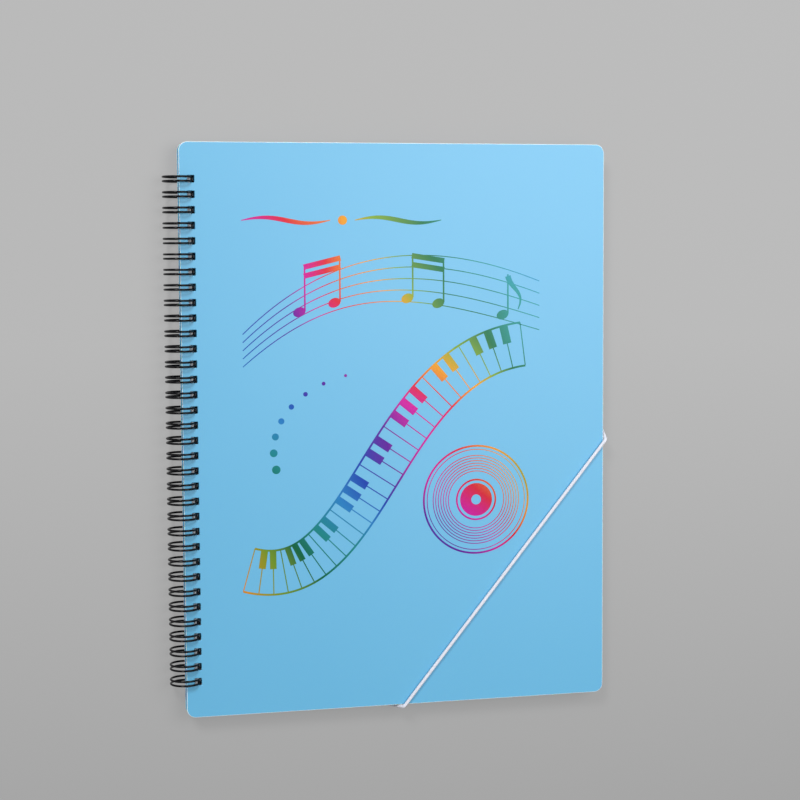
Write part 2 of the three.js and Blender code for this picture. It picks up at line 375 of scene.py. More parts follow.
# %% [markdown]
# ## The leaves
# Inside are film pockets that show as a layered edge, and two dozen leaves are enough to give
# it. A leaf is modelled once: a thin sheet, punched, and bisected where it climbs from the
# binding margin to the filled pocket.
# Each copy then has its heights set by a smooth step, from its own level at the margin to its own
# level in the pocket, and its free edges are moved a little, as loose leaves never line up. The
# leaves lean away from the spine until the wire stops them, so their holes stand further in than
# the covers' holes, and white film shows through those.

# %% Model the leaf stack
LEAF_COUNT = 24
LEAF_THICKNESS = 0.11 * MM
LEAF_CORNER = 3.0 * MM
MARGIN_WIDTH = 13.0 * MM
SLOPE_WIDTH = 6.0 * MM
SLOPE_CUTS = 5
MARGIN_BACK_REACH = 2.3 * MM
MARGIN_FRONT_REACH = 1.0 * MM
LEAF_SHIFT = 0.35 * MM
LEAF_SET_BACK = 1.9 * MM
OUTER_POCKET_ROOM = 0.32 * MM

leaf_low, leaf_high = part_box("pocket_pages")
loop_low, loop_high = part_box("wire_binding")
loop_centre_x = (loop_low.x + loop_high.x) / 2
loop_centre_z = (loop_low.z + loop_high.z) / 2
slope_start = leaf_low.x + MARGIN_WIDTH
margin_low_z = loop_centre_z - MARGIN_BACK_REACH
margin_high_z = loop_centre_z + MARGIN_FRONT_REACH
chance = random.Random(7)


def smooth_step(t):
    t = min(max(t, 0.0), 1.0)
    return t * t * (3 - 2 * t)


def level_at(x, share):
    rise = smooth_step((x - slope_start) / SLOPE_WIDTH)
    margin = margin_low_z + (margin_high_z - margin_low_z - LEAF_THICKNESS) * share
    pocket_low = leaf_low.z + OUTER_POCKET_ROOM
    pocket_high = leaf_high.z - OUTER_POCKET_ROOM - LEAF_THICKNESS
    pocket = pocket_low + (pocket_high - pocket_low) * share
    return margin + (pocket - margin) * rise


def bisect_slope(leaf):
    pick(leaf)
    bpy.ops.object.mode_set(mode="EDIT")
    for k in range(SLOPE_CUTS + 1):
        bpy.ops.mesh.select_all(action="SELECT")
        x = slope_start + SLOPE_WIDTH * k / SLOPE_CUTS
        bpy.ops.mesh.bisect(plane_co=(x, 0, 0), plane_no=(1, 0, 0))
    bpy.ops.object.mode_set(mode="OBJECT")


def raise_leaf(leaf, share, slide):
    middle_z = sum(v.co.z for v in leaf.data.vertices) / len(leaf.data.vertices)
    for vertex in leaf.data.vertices:
        top = vertex.co.z > middle_z
        free = smooth_step((vertex.co.x - slope_start) / (leaf_high.x - slope_start))
        vertex.co.x += slide[0] * free
        vertex.co.y += slide[1] * free
        vertex.co.z = level_at(vertex.co.x, share) + (LEAF_THICKNESS if top else 0)


leaf_punch = punch_row("leaf_punch", LEAF_SET_BACK)
sheet_low = Vector((leaf_low.x + LEAF_SET_BACK, leaf_low.y, 0))
sheet_high = Vector((leaf_high.x, leaf_high.y, LEAF_THICKNESS))
inset = Vector((0, LEAF_SHIFT, 0))
outset = Vector((LEAF_SHIFT, LEAF_SHIFT, 0))
pattern_leaf = flat_sheet(
    "pattern_leaf", sheet_low + inset, sheet_high - outset, LEAF_CORNER, segments=5,
)
cut(pattern_leaf, leaf_punch)
bisect_slope(pattern_leaf)

leaves = []
for k in range(LEAF_COUNT):
    leaf = pattern_leaf.copy()
    leaf.data = pattern_leaf.data.copy()
    bpy.context.scene.collection.objects.link(leaf)
    slide = (chance.uniform(-LEAF_SHIFT, LEAF_SHIFT), chance.uniform(-LEAF_SHIFT, LEAF_SHIFT))
    raise_leaf(leaf, k / (LEAF_COUNT - 1), slide)
    leaves.append(leaf)
bpy.data.objects.remove(pattern_leaf)
bpy.data.objects.remove(leaf_punch)
leaf_stack = join(leaves, "leaf_stack")
print("leaf stack:", len(leaf_stack.data.polygons), "faces")


# %% [markdown]
# ## Film and paper
# The pocket film is milky and a little glossy, with the faint orange-peel surface of blown film.
# The sheets in the pockets are plain white paper with a soft fibre grain.

# %% Make the film and paper finishes
def leaf_film():
    material, tree, shader = new_material("leaf_film", (0.74, 0.77, 0.81), 0.28)
    peel = object_noise(tree, 260.0, detail=2.0)
    add_bump(tree, shader, peel.outputs["Fac"], 0.12, 0.1 * MM)
    vary_roughness(tree, shader, peel, 0.22, 0.36)
    tree.links.new(
        blend_colours(tree, peel.outputs["Fac"], (0.70, 0.74, 0.79), (0.77, 0.80, 0.83)),
        shader.inputs["Base Color"],
    )
    return material


def clear_film():
    material, tree, shader = new_material("clear_film", (0.90, 0.93, 0.96), 0.16)
    peel = object_noise(tree, 180.0, detail=2.0)
    add_bump(tree, shader, peel.outputs["Fac"], 0.15, 0.1 * MM)
    shader.inputs["Alpha"].default_value = 0.35
    return material


def white_paper():
    material, tree, shader = new_material("white_paper", (0.86, 0.86, 0.84), 0.8)
    fibre = object_noise(tree, 1200.0, detail=4.0, stretch=(1, 0.4, 1))
    add_bump(tree, shader, fibre.outputs["Fac"], 0.15, 0.05 * MM)
    tree.links.new(
        blend_colours(tree, fibre.outputs["Fac"], (0.83, 0.83, 0.81), (0.89, 0.89, 0.875)),
        shader.inputs["Base Color"],
    )
    return material


film_finish = leaf_film()
clear_finish = clear_film()
paper_finish = white_paper()


def finish_leaf(piece, finish):
    piece.data.materials.clear()
    piece.data.materials.append(finish)
    pick(piece)
    bpy.ops.object.shade_smooth_by_angle(angle=math.radians(30))
    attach(piece, "pages")


finish_leaf(leaf_stack, film_finish)
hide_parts("pocket_pages")


# %% [markdown]
# ## The outer pockets
# When a cover is opened the first pocket is seen from close by: a white A4 sheet behind clear
# film, and the welded seam that closes the pocket on three sides. The sheet, the film and the
# seam are separate thin pieces on both faces of the stack. The seam is a frame: an outer sheet
# with an inner one cut out of it.

# %% Model the outer pockets
PAPER_WIDTH = 210 * MM
PAPER_HEIGHT = 297 * MM
PAPER_THICKNESS = 0.08 * MM
PAPER_CORNER = 0.4 * MM
PAPER_SIDE_ROOM = 1.5 * MM
PAPER_FOOT_ROOM = 1.0 * MM
FILM_THICKNESS = 0.05 * MM
SEAM_THICKNESS = 0.1 * MM
SEAM_WIDTH = 1.6 * MM
SEAM_INSET = 2.0 * MM
POCKET_START = MARGIN_WIDTH + SLOPE_WIDTH + 1 * MM
POCKET_CORNER = LEAF_CORNER / 2
LAYER_GAP = 0.025 * MM


def layer(name, x_low, x_high, y_low, y_high, z_low, thickness, corner):
    low = (x_low, y_low, z_low)
    high = (x_high, y_high, z_low + thickness)
    return flat_sheet(name, low, high, corner, segments=4)


def pocket_face(side, outward, base_z):
    left = leaf_low.x + POCKET_START
    right_edge = leaf_high.x - LEAF_SHIFT - SEAM_INSET
    bottom = leaf_low.y + LEAF_SHIFT + SEAM_INSET
    top = leaf_high.y - LEAF_SHIFT - SEAM_INSET
    paper_left = left + SEAM_WIDTH + PAPER_SIDE_ROOM
    paper_bottom = bottom + SEAM_WIDTH + PAPER_FOOT_ROOM

    def base(start, thickness):
        return base_z + start if outward > 0 else base_z - start - thickness

    paper = layer(
        f"{side}_pocket_paper", paper_left, paper_left + PAPER_WIDTH, paper_bottom,
        paper_bottom + PAPER_HEIGHT, base(LAYER_GAP, PAPER_THICKNESS), PAPER_THICKNESS,
        PAPER_CORNER,
    )
    film_start = 2 * LAYER_GAP + PAPER_THICKNESS
    film = layer(
        f"{side}_pocket_film", left, right_edge, bottom, top,
        base(film_start, FILM_THICKNESS), FILM_THICKNESS, POCKET_CORNER,
    )
    seam_start = film_start + FILM_THICKNESS + LAYER_GAP
    seam = layer(
        f"{side}_pocket_seam", left, right_edge, bottom, top,
        base(seam_start, SEAM_THICKNESS), SEAM_THICKNESS, POCKET_CORNER,
    )
    window = layer(
        "window", left + SEAM_WIDTH, right_edge - SEAM_WIDTH, bottom + SEAM_WIDTH,
        top + SEAM_INSET, CUT_BOTTOM, CUT_TOP - CUT_BOTTOM, POCKET_CORNER,
    )
    cut(seam, window)
    bpy.data.objects.remove(window)
    finish_leaf(paper, paper_finish)
    finish_leaf(film, clear_finish)
    finish_leaf(seam, film_finish)


pocket_face("front", 1, leaf_high.z - OUTER_POCKET_ROOM)
pocket_face("back", -1, leaf_low.z + OUTER_POCKET_ROOM)


# %% [markdown]
# ## Bars along a path
# The wire and the cord are both round bars that follow a path. The path is a list of stations,
# each a point with the direction there. A ring of points is set round every station, turned as
# little as possible from the one before, and the rings are joined by faces. The UV map runs round
# the bar in u and along it in v, measured in metres, so a weave can follow the bar.

# %% Sweep a round bar
def swept_bar(name, stations, radius, sides):
    points, faces, uvs = [], [], []
    normal = stations[0][1].orthogonal().normalized()
    travelled = 0.0
    lengths = []
    for k, (point, direction) in enumerate(stations):
        if k:
            travelled += (point - stations[k - 1][0]).length
            normal = (normal - direction * normal.dot(direction)).normalized()
        lengths.append(travelled)
        across = direction.cross(normal)
        for s in range(sides):
            turn = 2 * math.pi * s / sides
            points.append(point + (normal * math.cos(turn) + across * math.sin(turn)) * radius)
    for k in range(len(stations) - 1):
        for s in range(sides):
            after = (s + 1) % sides
            low, high = k * sides, (k + 1) * sides
            faces.append((low + s, low + after, high + after, high + s))
            u = (s / sides, (s + 1) / sides)
            v = (lengths[k], lengths[k + 1])
            uvs += [(u[0], v[0]), (u[1], v[0]), (u[1], v[1]), (u[0], v[1])]
    last = (len(stations) - 1) * sides
    faces.append(tuple(reversed(range(sides))))
    faces.append(tuple(range(last, last + sides)))
    uvs += [(0, 0)] * sides + [(0, travelled)] * sides
    mesh = bpy.data.meshes.new(name)
    mesh.from_pydata(points, [], faces)
    layer_uv = mesh.uv_layers.new(name="UVMap")
    layer_uv.data.foreach_set("uv", [c for uv in uvs for c in uv])
    bar = bpy.data.objects.new(name, mesh)
    bpy.context.scene.collection.objects.link(bar)
    pick(bar)
    bpy.ops.object.shade_smooth_by_angle(angle=math.radians(50))
    print(name, round(travelled, 3), "m long,", len(faces), "faces")
    return bar


def bend(corner, direction_in, direction_out, reach, segments):
    start = corner - direction_in * reach
    end = corner + direction_out * reach
    stations = []
    for k in range(segments + 1):
        t = k / segments
        point = start * (1 - t) ** 2 + corner * 2 * t * (1 - t) + end * t ** 2
        along = (corner - start) * (1 - t) + (end - corner) * t
        stations.append((point, along.normalized()))
    return stations


# %% [markdown]
# ## The twin-loop wire
# One wire makes the whole binding. From its root between the leaves and the front cover, a finger
# runs round the back of the spine to the front, where its closed tip drops into the front cover's
# hole, and then back beside itself to the root. Short straight roots join the fingers. The
# geometry is the construction's own, with many more steps, and a formula is the natural way.

# %% Model the wire
WIRE_DIAMETER = 1.2 * MM
RING_RADIUS = 8.0 * MM
FINGER_SPACING = 2.4 * MM
ROOT_LINE_OFFSET = 1.9 * MM
TIP_TO_ROOT_GAP = 0.25 * MM
ROOT_BEND = 0.9 * MM
WIRE_END = 2.6 * MM
RING_OUTSET = 0.3 * MM
ROOT_BEND_LENGTH = 2.2 * ROOT_BEND
RING_STEPS = 40
TIP_STEPS = 10
ROOT_STEPS = 5

ring_x = spine_edge_x - RING_OUTSET
root_angle = -math.asin(ROOT_LINE_OFFSET / RING_RADIUS)
tip_angle = 2 * math.pi + root_angle - (WIRE_DIAMETER + TIP_TO_ROOT_GAP) / RING_RADIUS
tip_bend = FINGER_SPACING / 2
along_spine = Vector((0, 1, 0))


def ring_point(angle, y):
    out = RING_RADIUS * math.cos(angle)
    down = RING_RADIUS * math.sin(angle)
    return Vector((ring_x + out, y, loop_centre_z - down))


def ring_direction(angle):
    return Vector((-math.sin(angle), 0, -math.cos(angle)))


def finger(y):
    low, high = y - tip_bend, y + tip_bend
    tip_start = tip_angle - tip_bend / RING_RADIUS
    first = root_angle + ROOT_BEND_LENGTH / RING_RADIUS
    angles = [first + (tip_start - first) * k / RING_STEPS for k in range(RING_STEPS)]
    out = ring_direction(root_angle)
    stations = bend(ring_point(root_angle, low), along_spine, out, ROOT_BEND, ROOT_STEPS)
    stations += [(ring_point(a, low), ring_direction(a)) for a in angles]
    for k in range(TIP_STEPS + 1):
        turn = math.pi * k / TIP_STEPS
        angle = tip_start + tip_bend * math.sin(turn) / RING_RADIUS
        heading = ring_direction(angle) * math.cos(turn) + along_spine * math.sin(turn)
        stations.append((ring_point(angle, y - tip_bend * math.cos(turn)), heading))
    stations += [(ring_point(a, high), -ring_direction(a)) for a in reversed(angles)]
    stations += bend(ring_point(root_angle, high), -out, along_spine, ROOT_BEND, ROOT_STEPS)
    return stations


wire_stations = [(ring_point(root_angle, first_loop_y - tip_bend - WIRE_END), along_spine)]
for k in range(LOOP_COUNT):
    wire_stations += finger(first_loop_y + k * LOOP_PITCH)
last_loop_y = first_loop_y + (LOOP_COUNT - 1) * LOOP_PITCH
wire_stations.append((ring_point(root_angle, last_loop_y + tip_bend + WIRE_END), along_spine))
wire = swept_bar("twin_loop_wire", wire_stations, WIRE_DIAMETER / 2, sides=12)


# %% [markdown]
# ## Coated wire
# The steel wire has a smooth black nylon coat: nearly black, glossy, with a slightly uneven
# surface that breaks up its long highlights.

# %% Make the wire's coat
def black_wire():
    material, tree, shader = new_material("black_wire", (0.003, 0.003, 0.004), 0.2)
    uneven = object_noise(tree, 420.0, detail=2.0)
    add_bump(tree, shader, uneven.outputs["Fac"], 0.08, 0.05 * MM)
    vary_roughness(tree, shader, uneven, 0.12, 0.22)
    shader.inputs["Specular IOR Level"].default_value = 0.22
    return material


wire.data.materials.append(black_wire())
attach(wire, "pages")
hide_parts("wire_binding")


# %% [markdown]
# ## The elastic cord
# The cord comes out of a hole in the back cover, goes round the outer edge, straight over the
# front corner, round the lower edge and back into a second hole. It is tight, so its runs are
# straight, and its bends hug the covers' edges. Its places are measured from the covers.

# %% Model the cord
CORD_DIAMETER = 1.9 * MM
CORD_GAP = 0.3 * MM
CORD_SIDE_HEIGHT = 149.5 * MM
CORD_FOOT_DISTANCE = 124.2 * MM
CORD_SLANT = 7.5 * MM
BEND_STEPS = 8
RUN_STEPS = 10

back_low, back_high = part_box("back_cover")
standoff = CORD_DIAMETER / 2 + CORD_GAP
front_plane = cover_high.z + standoff
back_plane = back_low.z - standoff
side_x = cover_high.x + standoff
foot_y = cover_low.y - standoff
upper_hole, lower_hole = barb_centres["upper_barb"], barb_centres["lower_barb"]
foot_x = spine_edge_x + CORD_FOOT_DISTANCE
cord_corners = [
    Vector((upper_hole.x, upper_hole.y, back_high.z)),
    Vector((upper_hole.x, upper_hole.y, back_plane)),
    Vector((side_x, cover_low.y + CORD_SIDE_HEIGHT + CORD_SLANT, back_plane)),
    Vector((side_x, cover_low.y + CORD_SIDE_HEIGHT, front_plane)),
    Vector((foot_x, foot_y, front_plane)),
    Vector((foot_x - CORD_SLANT, foot_y, back_plane)),
    Vector((lower_hole.x, lower_hole.y, back_plane)),
    Vector((lower_hole.x, lower_hole.y, back_high.z)),
]


def taut_route(corners):
    headings = [(b - a).normalized() for a, b in zip(corners, corners[1:])]
    stations = [(corners[0], headings[0])]
    for k in range(1, len(corners) - 1):
        turn = bend(corners[k], headings[k - 1], headings[k], standoff, BEND_STEPS)
        start, end = stations[-1][0], turn[0][0]
        for step in range(1, RUN_STEPS):
            stations.append((start.lerp(end, step / RUN_STEPS), headings[k - 1]))
        stations += turn
    stations.append((corners[-1], headings[-1]))
    return stations


cord = swept_bar("elastic_braid", taut_route(cord_corners), CORD_DIAMETER / 2, sides=24)


# %% [markdown]
# ## Braid
# A round elastic cord is braided from fine white threads that cross at an angle. Two waves on the
# UV map, one for each hand of thread, make diamonds where they cross, and the higher one of the
# two shows. Where the weave dips, its colour is darker and lavender: painted shade between the
# threads, tinted as a painted reflection of the blue cover. A little sheen gives the soft edge of
# textile.

# %% Make the braid
THREAD_ROWS = 6.0
THREAD_PITCH = 2.6 * MM


def braid_wave(tree, uv, hand):
    mapping = tree.nodes.new("ShaderNodeMapping")
    along = hand * THREAD_ROWS / (2 * THREAD_PITCH)
    mapping.inputs["Scale"].default_value = (THREAD_ROWS, along, 1)
    split = tree.nodes.new("ShaderNodeSeparateXYZ")
    total = tree.nodes.new("ShaderNodeMath")
    total.operation = "ADD"
    turn = tree.nodes.new("ShaderNodeMath")
    turn.operation = "MULTIPLY"
    turn.inputs[1].default_value = 2 * math.pi
    wave = tree.nodes.new("ShaderNodeMath")
    wave.operation = "SINE"
    tree.links.new(uv, mapping.inputs["Vector"])
    tree.links.new(mapping.outputs["Vector"], split.inputs["Vector"])
    tree.links.new(split.outputs["X"], total.inputs[0])
    tree.links.new(split.outputs["Y"], total.inputs[1])
    tree.links.new(total.outputs[0], turn.inputs[0])
    tree.links.new(turn.outputs[0], wave.inputs[0])
    return wave.outputs[0]


def white_braid():
    material, tree, shader = new_material("white_braid", (0.86, 0.86, 0.89), 0.75)
    place = tree.nodes.new("ShaderNodeTexCoord")
    right_hand = braid_wave(tree, place.outputs["UV"], 1)
    left_hand = braid_wave(tree, place.outputs["UV"], -1)
    higher = tree.nodes.new("ShaderNodeMath")
    higher.operation = "MAXIMUM"
    tree.links.new(right_hand, higher.inputs[0])
    tree.links.new(left_hand, higher.inputs[1])
    add_bump(tree, shader, higher.outputs[0], 0.5, 0.1 * MM)
    # The colour darkens and turns lavender in the weave's low parts: painted shade between the
    # threads, tinted as a painted reflection of the blue cover.
    shade = tree.nodes.new("ShaderNodeMapRange")
    shade.inputs["From Min"].default_value = -1
    tree.links.new(higher.outputs[0], shade.inputs["Value"])
    tree.links.new(
        blend_colours(tree, shade.outputs["Result"], (0.50, 0.50, 0.62), (0.84, 0.84, 0.90)),
        shader.inputs["Base Color"],
    )
    shader.inputs["Sheen Weight"].default_value = 0.3
    return material


cord.data.materials.append(white_braid())
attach(cord, "back_cover")
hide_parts("elastic_cord")


# %% [markdown]
# ## The barbs
# The cord's ends are clamped in flat strips of plated steel. Their solids are right as they are,
# so they only get a brushed metal finish, with fine marks along one direction.

# %% Finish the barbs
def plated_steel():
    material, tree, shader = new_material("plated_steel", (0.62, 0.62, 0.63), 0.3, metallic=1.0)
    brushed = object_noise(tree, 700.0, detail=3.0, stretch=(1, 0.08, 1))
    vary_roughness(tree, shader, brushed, 0.22, 0.42)
    add_bump(tree, shader, brushed.outputs["Fac"], 0.1, 0.03 * MM)
    return material


steel_finish = plated_steel()
for node in ("upper_barb", "lower_barb"):
    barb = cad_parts[node]
    barb.data.materials.clear()
    barb.data.materials.append(steel_finish)


# %% [markdown]
# ## Drawing with foil
# The front cover carries a foil print. Its design here is a general musical one: a sweeping
# keyboard, a stave with notes, and a disc of rings. Every shape is a thin flat piece of mesh just
# over the plastic, which stays sharp at any distance. Places on the cover are given in
# millimetres from the spine edge and from the lower edge. Where shapes cross, each has its own
# level, a hundredth of a millimetre above the last, because two faces at one height flicker.

# %% Foil helpers
FOIL_LIFT = 0.02 * MM
FOIL_THICKNESS = 0.02 * MM
FOIL_LEVEL_STEP = 0.01 * MM
foil_pieces = []


def on_cover(u, v):
    return Vector((spine_edge_x + u * MM, cover_low.y + v * MM, 0))


def foil_faces(name, outline_pairs, closed=False, level=0):
    """A flat strip between pairs of points, given its thickness."""
    count = len(outline_pairs)
    low_z = cover_high.z + FOIL_LIFT + level * FOIL_LEVEL_STEP
    points = []
    for z in (low_z, low_z + FOIL_THICKNESS):
        for a, b in outline_pairs:
            points += [(a.x, a.y, z), (b.x, b.y, z)]
    faces = []
    top = 2 * count
    steps = count if closed else count - 1
    for k in range(steps):
        a, b = 2 * k, 2 * ((k + 1) % count)
        faces.append((top + a, top + a + 1, top + b + 1, top + b))
        faces.append((a, b, b + 1, a + 1))
        faces.append((a, top + a, top + b, b))
        faces.append((a + 1, b + 1, top + b + 1, top + a + 1))
    if not closed:
        end = 2 * (count - 1)
        faces.append((0, 1, top + 1, top))
        faces.append((end, top + end, top + end + 1, end + 1))
    mesh = bpy.data.meshes.new(name)
    mesh.from_pydata(points, [], faces)
    piece = bpy.data.objects.new(name, mesh)
    bpy.context.scene.collection.objects.link(piece)
    foil_pieces.append(piece)
    return piece


def ribbon(name, centres, widths, closed=False, level=0):
    """A line of changing width along (u, v) points."""
    places = [on_cover(*c) for c in centres]
    count = len(places)
    pairs = []
    for k, place in enumerate(places):
        before = places[(k - 1) % count] if closed or k else place
        after = places[(k + 1) % count] if closed or k < count - 1 else place
        along = (after - before).normalized()
        across = Vector((-along.y, along.x, 0)) * widths[k] * MM / 2
        pairs.append((place - across, place + across))
    return foil_faces(name, pairs, closed, level)


def bezier(points, count):
    a, b, c, d = (Vector((*p, 0)) for p in points)
    line = []
    for k in range(count):
        t = k / (count - 1)
        p = a * (1 - t) ** 3 + b * 3 * t * (1 - t) ** 2 + c * 3 * t * t * (1 - t) + d * t ** 3
        line.append((p.x, p.y))
    return line


def offset_line(line, distance):
    moved = []
    for k, (u, v) in enumerate(line):
        before = line[max(k - 1, 0)]
        after = line[min(k + 1, len(line) - 1)]
        along = Vector((after[0] - before[0], after[1] - before[1])).normalized()
        moved.append((u - along.y * distance, v + along.x * distance))
    return moved


def disc(name, u, v, radius_u, radius_v, turn=0.0, level=0, count=32):
    """A filled ellipse, as a strip from one end to the other."""
    pairs = []
    for k in range(1, count):
        x = -math.cos(math.pi * k / count) * radius_u
        y = math.sin(math.pi * k / count) * radius_v
        pair = []
        for side in (-y, y):
            pair.append(on_cover(
                u + x * math.cos(turn) - side * math.sin(turn),
                v + x * math.sin(turn) + side * math.cos(turn),
            ))
        pairs.append(tuple(pair))
    return foil_faces(name, pairs, level=level)


def circle(name, u, v, radius, width, count=96):
    centres = []
    for k in range(count):
        turn = 2 * math.pi * k / count
        centres.append((u + radius * math.cos(turn), v + radius * math.sin(turn)))
    return ribbon(name, centres, [width] * count, closed=True)


# %% [markdown]
# ## The keyboard
# The keyboard follows an S-shaped curve up the cover. Two long lines bound it, thin lines part
# the white keys, and the black keys are filled bars of two fifths of its width. They come in
# twos and threes, as on every keyboard.

# %% Draw the keyboard
KEYBOARD_CURVE = ((36, 82), (104, 62), (112, 196), (196, 206))
KEYBOARD_WIDTH = 25.0
BORDER_WIDTH = 1.125
KEY_GAP_WIDTH = 0.6
WHITE_KEYS = 28
KEY_STEPS = 8
KEYS_IN_OCTAVE = 7
BLACK_AFTER = (0, 1, 3, 4, 5)
BLACK_KEY_LENGTH = 0.42
BLACK_KEY_WIDTH = 1.15

key_line = bezier(KEYBOARD_CURVE, WHITE_KEYS * KEY_STEPS + 1)
near_edge = offset_line(key_line, -KEYBOARD_WIDTH / 2)
far_edge = offset_line(key_line, KEYBOARD_WIDTH / 2)
ribbon("keyboard_near", near_edge, [BORDER_WIDTH] * len(near_edge), level=2)
ribbon("keyboard_far", far_edge, [BORDER_WIDTH] * len(far_edge), level=2)
for k in range(WHITE_KEYS + 1):
    step = k * KEY_STEPS
    black = (k - 1) % KEYS_IN_OCTAVE in BLACK_AFTER
    start = near_edge[step]
    end = far_edge[step]
    ribbon(f"key_gap_{k}", [start, end], [KEY_GAP_WIDTH] * 2)
    if 0 < k < WHITE_KEYS and black:
        root = tuple(e + (s - e) * BLACK_KEY_LENGTH for s, e in zip(start, end))
        half_key = math.dist(key_line[step - 2], key_line[step + 2])
        ribbon(f"black_key_{k}", [root, end], [half_key * BLACK_KEY_WIDTH] * 2, level=1)

# %% [markdown]
# ## The stave and its notes
# Five lines rise from the left, bend over, and spread as they fall to the right. Notes sit on
# them: a head is a tilted ellipse, a stem a thin upright line, two stems are joined by a pair of
# beams, and a single one carries a flag.

# %% Draw the stave and the notes
STAVE_TOP = ((34, 214), (84, 262), (140, 268), (206, 242))
STAVE_FALL = ((34, 196), (90, 244), (132, 236), (206, 214))
STAVE_LINES = 5
STAVE_STEPS = 90
STAVE_LINE_WIDTH = 0.5
HEAD_RADII = (3.6, 2.6)
HEAD_TILT = math.radians(22)
STEM_OFFSET = 3.2
STEM_WIDTH = 0.9
BEAM_DROPS = (0.0, 5.0)
BEAM_WIDTH = 3.0
FLAG_STEPS = 24
FLAG_WIDTH = 3.2

for k in range(STAVE_LINES):
    share = k / (STAVE_LINES - 1)
    points = [
        (a[0] + (b[0] - a[0]) * share, a[1] + (b[1] - a[1]) * share)
        for a, b in zip(STAVE_TOP, STAVE_FALL)
    ]
    line = bezier(points, STAVE_STEPS)
    ribbon(f"stave_{k}", line, [STAVE_LINE_WIDTH] * len(line))


def note(name, u, v, stem):
    disc(f"{name}_head", u, v, *HEAD_RADII, HEAD_TILT, level=1)
    side = u + STEM_OFFSET
    ribbon(f"{name}_stem", [(side, v + 0.6), (side, v + stem)], [STEM_WIDTH] * 2, level=2)
    return side, v + stem


def beamed_pair(name, u, v, apart, rise, stem):
    first = note(f"{name}_a", u, v, stem)
    second = note(f"{name}_b", u + apart, v + rise, stem)
    half_stem = STEM_WIDTH / 2
    for drop in BEAM_DROPS:
        ends = [(first[0] - half_stem, first[1] - drop), (second[0] + half_stem, second[1] - drop)]
        ribbon(f"{name}_beam_{int(drop)}", ends, [BEAM_WIDTH] * 2, level=3)


def flag(name, u, v):
    centres = bezier(((u, v), (u + 2, v - 8), (u + 11, v - 9), (u + 6, v - 19)), FLAG_STEPS)
    widths = [FLAG_WIDTH * (1 - k / (FLAG_STEPS + 2)) + 0.2 for k in range(FLAG_STEPS)]
    ribbon(name, centres, widths, level=3)


beamed_pair("upper_pair", 66, 226, apart=20, rise=5, stem=25)
beamed_pair("lower_pair", 128, 233, apart=18, rise=-3, stem=24)
note("single", 184, 223, stem=23)
flag("single_flag", 187.2, 245)

# %% [markdown]
# ## The disc and the dots
# A disc of thin rings round a filled middle fills the lower right, and at the left dots of
# falling size rise along a curve. Near the upper edge a dot stands between two wavy lines, each
# widest in its middle.

# %% Draw the disc, the dots and the wavy lines
DISC_CENTRE = (168, 117)
RIM_RADIUS, RIM_WIDTH = 31, 1.1
GROOVE_RADII = (29, 25.5, 24, 22.5, 21, 19.5, 18, 16.5)
GROOVE_WIDTH = 0.45
LABEL_RADIUS, LABEL_LINE_WIDTH = 11.5, 1.0
CORE_RADIUS, CORE_WIDTH = 6.2, 6.6
DOT_CURVE = ((52, 138), (46, 160), (60, 182), (92, 190))
DOT_COUNT = 8
DOT_RADIUS = 2.4
DOT_SHRINK = 0.22
WAVE_ENDS = ((34, 84), (98, 148))
WAVE_HEIGHT = 277
WAVE_STEPS = 20

circle("disc_rim", *DISC_CENTRE, RIM_RADIUS, RIM_WIDTH)
for k, radius in enumerate(GROOVE_RADII):
    circle(f"groove_{k}", *DISC_CENTRE, radius, GROOVE_WIDTH)
circle("label_rim", *DISC_CENTRE, LABEL_RADIUS, LABEL_LINE_WIDTH)
circle("label_core", *DISC_CENTRE, CORE_RADIUS, CORE_WIDTH)

for k, (u, v) in enumerate(bezier(DOT_CURVE, DOT_COUNT)):
    radius = DOT_RADIUS - DOT_SHRINK * k
    disc(f"dot_{k}", u, v, radius, radius)

for k, (start, end) in enumerate(WAVE_ENDS):
    line, widths = [], []
    for step in range(WAVE_STEPS + 1):
        share = step / WAVE_STEPS
        rise = 1.6 * math.sin(2 * math.pi * share)
        line.append((start + (end - start) * share, WAVE_HEIGHT + rise))
        widths.append(0.4 + 2.2 * math.sin(math.pi * share))
    ribbon(f"wavy_line_{k}", line, widths)
disc("wavy_line_dot", 91, WAVE_HEIGHT, 2.6, 2.6)

# %% [markdown]
# ## Rainbow foil
# The foil is metal film whose colour runs from green over blue and magenta to red and gold. A
# colour ramp along a slanting line of Object coordinates does that, and a broad noise shifts the
# bands a little, as foil never turns colour along a ruled line.

# %% Make the foil and join the print
FOIL_COLOURS = (
    (0.00, (0.003, 0.12, 0.045)),
    (0.12, (0.01, 0.22, 0.22)),
    (0.24, (0.02, 0.20, 0.50)),
    (0.36, (0.01, 0.05, 0.38)),
    (0.48, (0.10, 0.01, 0.28)),
    (0.58, (0.50, 0.005, 0.28)),
    (0.68, (0.55, 0.01, 0.03)),
    (0.80, (0.62, 0.26, 0.01)),
    (0.90, (0.16, 0.28, 0.02)),
    (1.00, (0.003, 0.12, 0.045)),
)
FOIL_TURN = math.radians(-38)
FOIL_SPAN = 0.17
FOIL_START = 0.35
FOIL_DRIFT = 0.35


